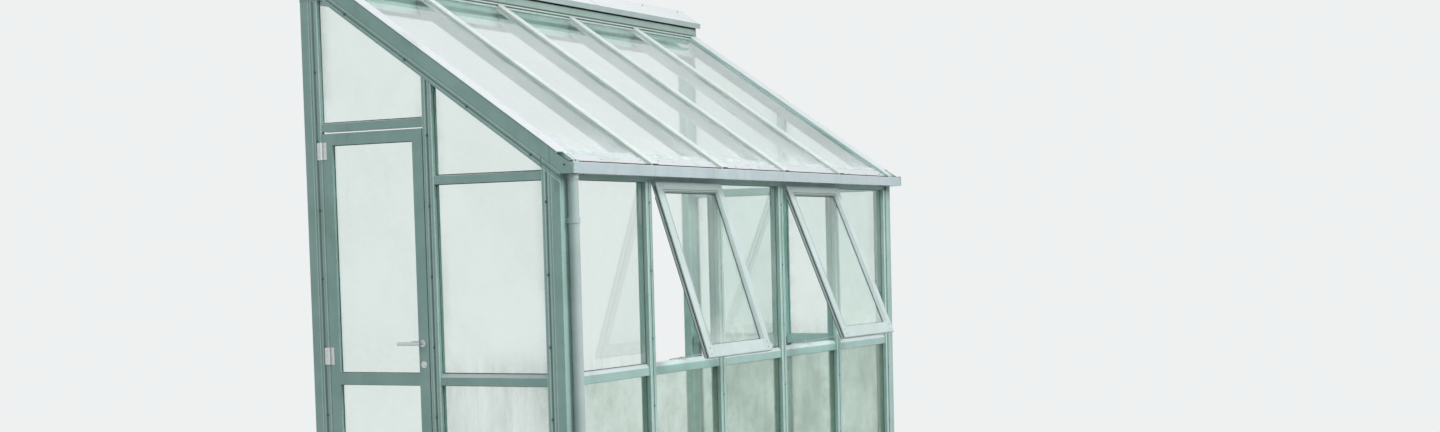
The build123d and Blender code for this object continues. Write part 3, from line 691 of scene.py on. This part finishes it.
def pane_corners(low, high):
    """The corners of an upright pane, all round from its low one."""
    (x0, y0, z0), (x1, y1, z1) = low, high
    return [at(x0, y0, z0), at(x1, y1, z0), at(x1, y1, z1), at(x0, y0, z1)]


def wall_seals():
    """Dark seals between the glass and the caps and rails, on the outer side."""
    bm = bmesh.new()
    face = CAP_DEPTH + SEAL_SUNK
    lower, upper = (BASE, SILL), (SILL + SILL_TOP, HEAD)
    for number in range(BAYS):
        x0, x1 = clear_widths(number)
        panes = [lower] if number + 1 in VENTS else [lower, upper]
        for z0, z1 in panes:
            seal_loop(bm, pane_corners((x0, face, z0), (x1, face, z1)), FORWARDS)
    bays = [(EDGE_WIDTH, GABLE_POST - CAP_HALF), (GABLE_POST + CAP_HALF, DEPTH - EDGE_WIDTH)]
    for x, side in ((face, -1), (LENGTH - face, 1)):
        for index, (y0, y1) in enumerate(bays):
            door_bay = side < 0 and index == 1
            panes = [] if door_bay else [lower, upper]
            for z0, z1 in panes:
                seal_loop(bm, pane_corners((x, y0, z0), (x, y1, z1)), (side, 0, 0))
            low = (DOOR_HEAD if door_bay else HEAD) + TRANSOM_TOP
            peak = roof_z(y1, RAKE_EDGE)
            corners = [at(x, y0, low), at(x, y1, low)]
            if peak > RIDGE_BOTTOM:
                turn = y1 - (peak - RIDGE_BOTTOM) / ROOF_RISE
                corners += [at(x, y1, RIDGE_BOTTOM), at(x, turn, RIDGE_BOTTOM)]
            else:
                corners.append(at(x, y1, peak))
            corners.append(on_roof(x, y0, RAKE_EDGE))
            seal_loop(bm, corners, (side, 0, 0))
    finished("wall_seals", bm, glazing_seal)


def roof_seals():
    """Pale seals beside the roof bars."""
    bm = bmesh.new()
    low, high, down = COVER_END + 3, RIB_FRONT - 3, ROOF_CAP + SEAL_SUNK
    for number in range(BAYS):
        x0, x1 = clear_widths(number)
        for x, way in ((x0, 1), (x1, -1)):
            middle = x + way * SEAL[0] / 2
            start, end = on_roof(middle, low, down), on_roof(middle, high, down)
            add_strip(bm, start, end, ROOF_OUT, SEAL)
    finished("roof_seals", bm, pale_seal)


def beam_shade_strip_and_seals():
    """A black strip at the eaves beam's nose, painted shade of the gap there, and black seals under
    the rakes' outer edges.
    """
    bm = bmesh.new()
    nose = roof_z(BEAM_NOSE, ROOF_CAP) - 1
    for number in range(BAYS):
        x0, x1 = clear_widths(number)
        start, end = at(x0, BEAM_NOSE, nose), at(x1, BEAM_NOSE, nose)
        # Black strip along the nose: painted shade of the gap above the gutter's lip
        add_strip(bm, start, end, FORWARDS, BEAM_NOSE_SHADE_STRIP)
    low, high, down = 14, RIDGE_FRONT - 4, 4
    for x, side in ((0, -1), (LENGTH, 1)):
        start, end = on_roof(x, low, down), on_roof(x, high, down)
        add_strip(bm, start, end, (side, 0, 0), RAKE_SEAL)
    finished("beam_shade_strip_and_seals", bm, rubber)


def gutter_trim():
    """Seals over and beside the gutter's end plates."""
    bm = bmesh.new()
    front, flat_end, back = GUTTER_FRONT, GUTTER_FRONT + PLATE_FLAT, PLATE_BACK + 1.0
    foot, notch, nick, top = GUTTER_BOTTOM + 1, GUTTER_TOP - 12, GUTTER_TOP - 6.5, GUTTER_TOP
    rake_end, back_top = roof_z(PLATE_BACK, 7), roof_z(back, 10)
    for x, side in ((0, -1), (LENGTH, 1)):
        edge, seam = x + side * PLATE / 2, x - side * 1.0
        strips = (
            ((seam, front, foot), (seam, front, notch), FORWARDS, PLATE_SEAM),
            ((seam, front, notch), (seam, front, nick), FORWARDS, PLATE_NICK),
            ((edge, PLATE_BACK, rake_end), (edge, flat_end, top), ROOF_OUT, PLATE_SLOPE_SEAL),
            ((edge, flat_end + 1, top), (edge, front + 1, top), UPWARDS, PLATE_TOP_SEAL),
            ((x, back, foot + 1), (x, back, back_top), (side, 0, 0), PLATE_BACK_SEAM),
        )
        for start, end, out, section in strips:
            add_strip(bm, at(*start), at(*end), out, section)
    finished("gutter_trim", bm, rubber)


def gutter_screws():
    """The screw that shows on the left end plate, and those that hold the gutter's floor."""
    bm = bmesh.new()
    plate_y, plate_rise, floor_y = -24, 33, -12
    add_screw(bm, at(-PLATE, plate_y, GUTTER_BOTTOM + plate_rise), TO_THE_LEFT, 0.85)
    for x in along_length(11, 150):
        add_screw(bm, at(x, floor_y, GUTTER_BOTTOM), DOWNWARDS, 0.8)
    finished("gutter_screws", bm, dark_metal)


def pipe_screws():
    """Screws in the ears of the downpipe's two brackets."""
    bm = bmesh.new()
    ear_half, ear_y, rise = 13, -9, 11
    for z in PIPE_BRACKETS:
        for side in (-1, 1):
            add_screw(bm, at(PIPE_X + side * ear_half, ear_y, z + rise), (side, 0, 0), 0.7)
    finished("pipe_screws", bm, dark_metal)


def add_vent_strip(bm, place, depth, spots, out, section):
    """A strip on a vent, at this depth of it, between two spots given by their x and z."""
    start, end = (place @ Vector((x, depth, z)) for x, z in spots)
    add_strip(bm, start, end, out, section)


def vent_seals():
    """Seals round each vent's light and behind its edges, and dark strips down its outer sides,
    painted shade of the sides.
    """
    bm = bmesh.new()
    half = VENT_WIDTH / 2
    light = half - VENT_STILE
    low, high = VENT_BOTTOM_RAIL - VENT_HEIGHT, -VENT_TOP_RAIL
    corners = [(-light, low), (light, low), (light, high), (-light, high)]
    edge, foot, head = half - 6, 6 - VENT_HEIGHT, -60
    behind = [
        ((-edge, foot), (-edge, head)),
        ((edge, foot), (edge, head)),
        ((-edge, foot), (edge, foot)),
    ]
    side_low, side_high, side_depth = 3 - VENT_HEIGHT, -16, VENT_FRONT + 8
    for bay in VENTS:
        place = vent_matrix(bay)
        out = place.to_3x3() @ Vector(FORWARDS)
        light_corners = [place @ Vector((x, VENT_GLASS, z)) for x, z in corners]
        seal_loop(bm, light_corners, out, VENT_LIGHT_SEAL)
        for spots in behind:
            add_vent_strip(bm, place, VENT_BACK, spots, -out, VENT_EDGE_SEAL)
        # Dark strips down the outer sides: painted shade
        for side in (-1, 1):
            spots = ((side * half, side_low), (side * half, side_high))
            add_vent_strip(bm, place, side_depth, spots, (side, 0, 0), VENT_SIDE_SHADE_STRIP)
    finished("vent_seals", bm, rubber)


def vent_joints():
    """Fine seams of a vent's rails and stiles, dark strips as painted shade of its grooves, their
    rivets, and the hinge's breaks.
    """
    bm = bmesh.new()
    half = VENT_WIDTH / 2
    seam = half - VENT_STILE
    low, high = VENT_BOTTOM_RAIL - VENT_HEIGHT, -VENT_TOP_RAIL
    seams = [(-VENT_HEIGHT + 4, low - 4), (high + 4, -2)]
    rivets = (16 - VENT_HEIGHT, 40 - VENT_HEIGHT, -17)
    side, head = seam + 9, 9 + high
    grooves = [
        ((-side, low), (-side, head)),
        ((side, low), (side, head)),
        ((-side, head), (side, head)),
    ]
    knuckles, knuckle, gap = 4, 4.7, 1.4
    for bay in VENTS:
        place = vent_matrix(bay)
        out = place.to_3x3() @ Vector(FORWARDS)
        for way in (-1, 1):
            for z0, z1 in seams:
                spots = ((way * seam, z0), (way * seam, z1))
                add_vent_strip(bm, place, VENT_FRONT, spots, out, VENT_SEAM)
            for z in rivets:
                x = way * (half - VENT_STILE / 2)
                add_screw(bm, place @ Vector((x, VENT_FRONT, z)), out, 0.55)
        # Dark strips where the grooves lie: painted shade
        for spots in grooves:
            add_vent_strip(bm, place, VENT_FRONT, spots, out, VENT_GROOVE_SHADE)
        for step in range(1, knuckles):
            x = -half + step * VENT_WIDTH / knuckles - gap / 2
            ring = place @ Matrix.Translation((x, 0, 0)) @ Matrix.Rotation(math.pi / 2, 4, "Y")
            add_disc(bm, ring, [(knuckle, 0), (knuckle, gap)], 16)
    finished("vent_joints", bm, dark_metal)


def stay_fittings():
    """A bracket on each vent's bottom rail and a plate under each peg, with their screws."""
    bm = bmesh.new()
    z = VENT_BOTTOM_RAIL / 2 - VENT_HEIGHT
    face = VENT_BACK + 2
    bracket_screw, plate_screw = 13, 17
    plate, plate_top = (-22, -8, 0), (22, 8, 1.6)
    y, seat = (CAP_DEPTH + 57.0) / 2, SILL + SILL_TOP
    # Screws first: made after a bevel, their faces' order would vary from run to run
    for bay in VENTS:
        place, x = vent_matrix(bay), bar_x(bay - 0.5)
        out = place.to_3x3() @ Vector((0, 1, 0))
        for side in (-1, 1):
            add_screw(bm, place @ Vector((side * bracket_screw, face, z)), out, 0.45)
        for side in (-1, 1):
            add_screw(bm, at(x + side * plate_screw, y, seat + plate_top[2]), UPWARDS, 0.6)
    for bay in VENTS:
        place, x = vent_matrix(bay), bar_x(bay - 0.5)
        add_block(bm, (-16, VENT_BACK, z - 9), (16, face, z + 9), place, 0.6)
        for side in (-1, 1):
            low = (side * 9 - 1, VENT_BACK + 1, z - 7)
            high = (side * 9 + 1, VENT_BACK + 15, z + 7)
            add_block(bm, low, high, place, 0.5)
        add_block(bm, plate, plate_top, upright(at(x, y, seat)), 0.5)
    finished("stay_fittings", bm, bare_metal)


def door_seals():
    """Seals round the two lights of the door."""
    bm = bmesh.new()
    y0, y1 = DOOR_LEFT + DOOR_STILE, DOOR_RIGHT - DOOR_STILE
    lower = (DOOR_BOTTOM + DOOR_BOTTOM_RAIL, SILL)
    upper = (SILL + DOOR_STILE, DOOR_TOP - DOOR_STILE)
    for z0, z1 in (lower, upper):
        seal_loop(bm, pane_corners((DOOR_GLASS, y0, z0), (DOOR_GLASS, y1, z1)), TO_THE_LEFT)
    finished("door_seals", bm, rubber)


def door_fixings():
    """Screws in the hinge plates and the rose, and the lock below the lever."""
    bm = bmesh.new()
    hinge_face, leaf_side, post_side = -2.3, DOOR_RIGHT - 15, DOOR_RIGHT + 19
    pitch = (DOOR_TOP - DOOR_BOTTOM - 2 * HINGE_HEIGHT) / (HINGES - 1)
    for number in range(HINGES):
        z = DOOR_BOTTOM + HINGE_HEIGHT / 2 + number * pitch
        for rise in (0.18, 0.5, 0.82):
            for y in (leaf_side, post_side):
                add_screw(bm, at(hinge_face, y, z + rise * HINGE_HEIGHT), TO_THE_LEFT, 0.6)
    middle, rose_face, lock_drop = DOOR_LEFT + DOOR_STILE / 2, -6.2, 85
    for rise in (-10, 10):
        add_screw(bm, at(rose_face, middle, HANDLE + rise), TO_THE_LEFT, 0.4)
    lock = seat_matrix(at(0, middle, HANDLE - lock_drop), (0, 1, 0), TO_THE_LEFT)
    rings = [
        (14, 0), (14, 2.4), (13, 3.2), (8.5, 3.2), (8.5, 6.0), (8, 6.6), (2.2, 6.6), (2.0, 4.6)
    ]
    add_disc(bm, lock, rings, 24)
    finished("door_fixings", bm, bare_metal)


def roof_litter():
    """Dry bits that lie on the eaves beam's cover, beside the roof bars and along the glass."""
    bm = bmesh.new()
    rings = [(1.5, 0), (1.2, 0.8), (0.5, 1.3)]
    bits, beside_bars, from_bar, spread = 7, 3, 8, 3
    depths, sizes = (-16, 20), (0.8, 2.2)
    for number in range(BAYS):
        x0, x1 = clear_widths(number)
        for index in range(bits):
            if index < beside_bars:
                x = chance.choice((x0 + from_bar, x1 - from_bar)) + chance.gauss(0, spread)
            else:
                x = chance.uniform(x0, x1)
            y = chance.uniform(*depths)
            size = chance.uniform(*sizes)
            along = (1, chance.uniform(-1, 1) * 0.8, 0.2)
            seat = seat_matrix(on_roof(x, y, ROOF_CAP), along, ROOF_OUT)
            add_disc(bm, seat @ Matrix.Diagonal((size * 1.8, size, 1, 1)), rings, 7)
    finished("roof_litter", bm, dry_leaf)


def flashing_seams():
    """Lapped joints across the wall flashing."""
    bm = bmesh.new()
    half = 14
    for x in (LENGTH / 3, 2 * LENGTH / 3):
        seat = seat_matrix(at(x, *FLASHING_LIP), UP_SLOPE, ROOF_OUT)
        add_block(bm, (0.5, -half, -0.2), (137.0, half, 1.4), seat, 0.5)
        add_block(bm, (-0.9, -half, -11.6), (0.6, half, 0.9), seat, 0.4)
    finished("flashing_seams", bm, flashing_paint)


def flashing_edge():
    """The turned-down drip edge that carries on below the flashing's lip."""
    bm = bmesh.new()
    gap, seat = 0.6, upright(at(0, *FLASHING_LIP))
    first, second = LENGTH / 3, 2 * LENGTH / 3
    for x0, x1 in ((1, first - gap), (first + gap, second - gap), (second + gap, LENGTH - 1)):
        add_block(bm, (x0, 0.2, -27.0), (x1, 2.8, -11.0), seat, 0.6)
    finished("flashing_edge", bm, flashing_paint)


def flashing_fixings():
    """Screws along the flashing, and a dark strip at the back of the gap under its lip, painted
    shade of the gap.
    """
    bm = bmesh.new()
    from_lip = UP_SLOPE * 112 * MM
    for x in along_length(9, 90):
        add_screw(bm, at(x, *FLASHING_LIP) + from_lip, ROOF_OUT, 0.9)
    # Dark strip under the lip: painted shade
    y, z = RIDGE_FRONT + 4, roof_z(RIDGE_FRONT) + 34.0
    add_strip(bm, at(2, y, z), at(LENGTH - 2, y, z), UPWARDS, LIP_GAP_SHADE_STRIP)
    finished("flashing_fixings", bm, rubber)


def pipe_bead():
    """The bead below the downpipe's collar."""
    bm = bmesh.new()
    inner, outer, below_gutter = PIPE_RADIUS + 0.2, PIPE_RADIUS + 1.6, 27
    seat = upright(at(PIPE_X, PIPE_Y, GUTTER_BOTTOM - below_gutter))
    add_disc(bm, seat, [(inner, 0), (outer, 1.6), (outer, 3.0), (inner, 4.6)], 40)
    finished("pipe_bead", bm, pipe_paint, smooth=True)


PIECES = (
    bar_screws, roof_bar_ends, wall_seals, roof_seals, beam_shade_strip_and_seals, gutter_trim, gutter_screws,
    roof_litter, vent_seals, vent_joints, stay_fittings, door_seals, door_fixings,
    flashing_seams, flashing_edge, flashing_fixings, pipe_bead, pipe_screws,
)
for make in PIECES:
    make()


# Floor, light and camera

SEEN_BY = ("Is Camera Ray", "Is Glossy Ray", "Is Transmission Ray")
BACKGROUND = (0.86, 0.88, 0.88)
FLOOR, FLOOR_SEEN = (0.30, 0.31, 0.30), (0.74, 0.75, 0.75)
FLOOR_RADIUS = 90.0
FLOOR_FADE = (1.5, 4.5)
AMBIENT = (0.92, 0.985, 0.98)
AMBIENT_STRENGTH = 0.50

# Each lamp's name, place, target, size in metres, power in watts and colour
LAMPS = (
    ("key", (-0.9, -8.0, 5.6), (0, 0, 1.2), 4.5, 610.0, (1.0, 0.99, 0.97)),
    ("fill", (-7.0, -2.0, 4.0), (0, 0, 1.2), 5.0, 60.0, (0.87, 1.0, 0.97)),
    ("top", (-1.0, -1.0, 8.0), (0, 0.3, 1.5), 5.0, 160.0, (0.98, 0.99, 1.0)),
)

# The photograph's camera, from a fit to its straight edges: its angles in degrees, its lens and
# the height of its axis in pixels of the frame, and its place in millimetres from the first bar,
# the front face and the sill
YAW, TILT, ROLL = 62.12, -3.906, -1.4387
FOCAL, AXIS_HEIGHT = 1995.05, 383.5
FRAME_WIDTH, FRAME_HEIGHT = 1440.0, 432.0
SENSOR = 36.0
STAND = (-6550, -4102, 522)


def floor():
    """A pale floor that fades into the background away from the object."""
    bm = bmesh.new()
    bmesh.ops.create_circle(bm, cap_ends=True, radius=FLOOR_RADIUS, segments=96)
    mesh = bpy.data.meshes.new("floor")
    bm.to_mesh(mesh)
    bm.free()
    ground = bpy.data.objects.new("floor", mesh)
    bpy.context.scene.collection.objects.link(ground)
    ground.location.z = -0.0005
    finish = Finish("floor")
    distance = finish.node("VectorMath", [finish.place], output="Value", operation="LENGTH")
    far = finish.band(distance, *FLOOR_FADE)
    camera_ray, *other_rays = (finish.node("LightPath", [], output=name) for name in SEEN_BY)
    seen = camera_ray
    for ray in other_rays:
        seen = seen.at_least(ray)
    matt = finish.node("BsdfDiffuse", [finish.mix(seen, FLOOR, FLOOR_SEEN)])
    pale = finish.node("Emission", [BACKGROUND, 1.0])
    mesh.materials.append(finish.close(finish.node("MixShader", [far * seen, matt, pale])))


def surroundings():
    """Soft even light from all round, with a pale background where rays see it."""
    world = bpy.data.worlds.new("studio")
    bpy.context.scene.world = world
    world.use_nodes = True
    tree = world.node_tree
    tree.nodes.clear()
    out = tree.nodes.new("ShaderNodeOutputWorld")
    light = tree.nodes.new("ShaderNodeBackground")
    light.inputs["Color"].default_value = (*AMBIENT, 1.0)
    light.inputs["Strength"].default_value = AMBIENT_STRENGTH
    shown = tree.nodes.new("ShaderNodeBackground")
    shown.inputs["Color"].default_value = (*BACKGROUND, 1.0)
    path = tree.nodes.new("ShaderNodeLightPath")
    seen = path.outputs[SEEN_BY[0]]
    for name in SEEN_BY[1:]:
        either = tree.nodes.new("ShaderNodeMath")
        either.operation = "MAXIMUM"
        tree.links.new(seen, either.inputs[0])
        tree.links.new(path.outputs[name], either.inputs[1])
        seen = either.outputs[0]
    mixed = tree.nodes.new("ShaderNodeMixShader")
    tree.links.new(seen, mixed.inputs[0])
    tree.links.new(light.outputs[0], mixed.inputs[1])
    tree.links.new(shown.outputs[0], mixed.inputs[2])
    tree.links.new(mixed.outputs[0], out.inputs["Surface"])


def area_light(name, place, target, size, power, colour):
    lamp = bpy.data.lights.new(name, "AREA")
    lamp.shape = "DISK"
    lamp.size = size
    lamp.energy = power
    lamp.color = colour
    holder = bpy.data.objects.new(name, lamp)
    bpy.context.scene.collection.objects.link(holder)
    holder.location = place
    holder.rotation_euler = (Vector(target) - Vector(place)).to_track_quat("-Z", "Y").to_euler()


def camera():
    """The photograph's place of view, direction, lens and framing."""
    yaw, tilt, roll = (math.radians(angle) for angle in (YAW, TILT, ROLL))
    reach = math.cos(tilt)
    ahead = Vector((math.sin(yaw) * reach, math.cos(yaw) * reach, math.sin(tilt)))
    level = Vector((math.cos(yaw), -math.sin(yaw), 0.0))
    plumb = level.cross(ahead)
    right = level * math.cos(roll) + plumb * math.sin(roll)
    up = plumb * math.cos(roll) - level * math.sin(roll)
    data = bpy.data.cameras.new("camera")
    data.sensor_width = SENSOR
    data.lens = FOCAL / FRAME_WIDTH * data.sensor_width
    data.shift_y = (AXIS_HEIGHT - FRAME_HEIGHT / 2) / FRAME_WIDTH
    data.clip_end = 300.0
    holder = bpy.data.objects.new("camera", data)
    bpy.context.scene.collection.objects.link(holder)
    turn = Matrix((right, up, -ahead)).transposed().to_4x4()
    x, y, z = STAND
    holder.matrix_world = Matrix.Translation(at(x + CORNER_REACH, y, z + SILL)) @ turn
    bpy.context.scene.camera = holder


floor()
surroundings()
for lamp in LAMPS:
    area_light(*lamp)
camera()
bpy.context.scene.view_settings.view_transform = "Standard"
